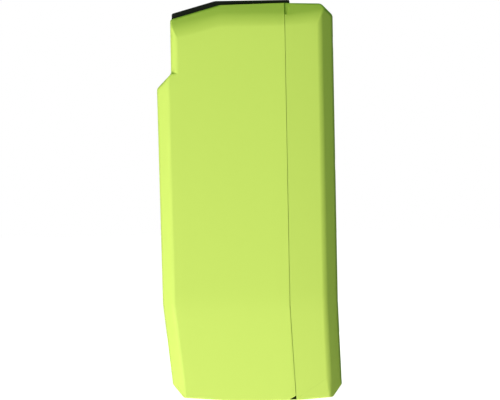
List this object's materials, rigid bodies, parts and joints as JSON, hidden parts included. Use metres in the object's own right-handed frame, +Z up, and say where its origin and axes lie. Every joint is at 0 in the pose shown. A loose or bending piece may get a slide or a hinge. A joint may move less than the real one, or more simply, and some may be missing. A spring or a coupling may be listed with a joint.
{
  "type": "cordless push mower battery pack",
  "caption": "Slide-in battery pack of a cordless push mower: bevelled two-shell plastic case with a stepped front, sloping cap with charge gauge and button, cells inside.",
  "frame": {"origin": "middle of the pack's box, at the foot that it stands on", "axes": "+Z up, against the direction in which the pack slides into its bay; -Y the front with the latch ledge; X across, along the cells"},
  "size_m": [0.092, 0.0696, 0.155],
  "materials": {
    "lime_plastic": "fine satin texture, moulded lime ABS",
    "cap_gloss": "polished black",
    "label_film": "blank matt film",
    "zinc_steel": "zinc plated",
    "black_nylon": "glass-filled nylon, dull",
    "contact_brass": "tin flashed",
    "button_rubber": "soft-touch grey",
    "switch_stem": "natural nylon",
    "clear_acrylic": "clear moulded acrylic",
    "green_board": "solder mask over glass epoxy",
    "led_lens": "clear epoxy",
    "white_nylon": "natural nylon",
    "holder_plastic": "flame-retardant black",
    "fish_paper": "vulcanised fibre sheet",
    "chip_epoxy": "moulded epoxy",
    "flat_cable": "flat ribbon jacket",
    "grey_foam": "closed-cell foam",
    "cell_wrap": "heat-shrink sleeve",
    "nickel_strip": "rolled nickel"
  },
  "bodies": {
    "case": {"front_shell": "lime_plastic", "rear_shell": "lime_plastic", "top_cap": "cap_gloss", "front_label": "label_film", "housing_screws": "zinc_steel", "light_guide": "clear_acrylic", "gauge_board": "green_board", "gauge_leds": "led_lens", "gauge_screws": "zinc_steel", "gauge_connector": "white_nylon", "switch_body": "black_nylon", "cell_01": "cell_wrap", "cell_02": "cell_wrap", "cell_03": "cell_wrap", "cell_04": "cell_wrap", "cell_05": "cell_wrap", "cell_06": "cell_wrap", "cell_07": "cell_wrap", "cell_08": "cell_wrap", "cell_09": "cell_wrap", "cell_10": "cell_wrap", "cell_11": "cell_wrap", "cell_12": "cell_wrap", "cell_13": "cell_wrap", "cell_14": "cell_wrap", "cell_15": "cell_wrap", "cell_16": "cell_wrap", "cell_17": "cell_wrap", "cell_18": "cell_wrap", "cell_19": "cell_wrap", "cell_20": "cell_wrap", "cell_holder_left": "holder_plastic", "cell_holder_right": "holder_plastic", "holder_ties": "zinc_steel", "bus_positive": "nickel_strip", "link_2": "nickel_strip", "link_4": "nickel_strip", "link_6": "nickel_strip", "link_8": "nickel_strip", "bus_negative": "nickel_strip", "link_1": "nickel_strip", "link_3": "nickel_strip", "link_5": "nickel_strip", "link_7": "nickel_strip", "link_9": "nickel_strip", "insulator_left": "fish_paper", "insulator_right": "fish_paper", "top_foam": "grey_foam", "terminal_housing": "black_nylon", "contact_positive": "contact_brass", "contact_negative": "contact_brass", "signal_contacts": "contact_brass", "bms_board": "green_board", "board_screws": "zinc_steel", "power_mosfets": "chip_epoxy", "control_chips": "chip_epoxy", "ribbon_cable": "flat_cable", "bms_connector": "white_nylon"},
    "button": {"gauge_button": "button_rubber", "switch_plunger": "switch_stem"}
  },
  "joints": [
    {"name": "button_press", "type": "slide", "parent": "case", "child": "button", "axis": [0, 0.2656, -0.9641], "range_m": [0, 0.0005], "stiffness_N_per_m": 2000}
  ]
}
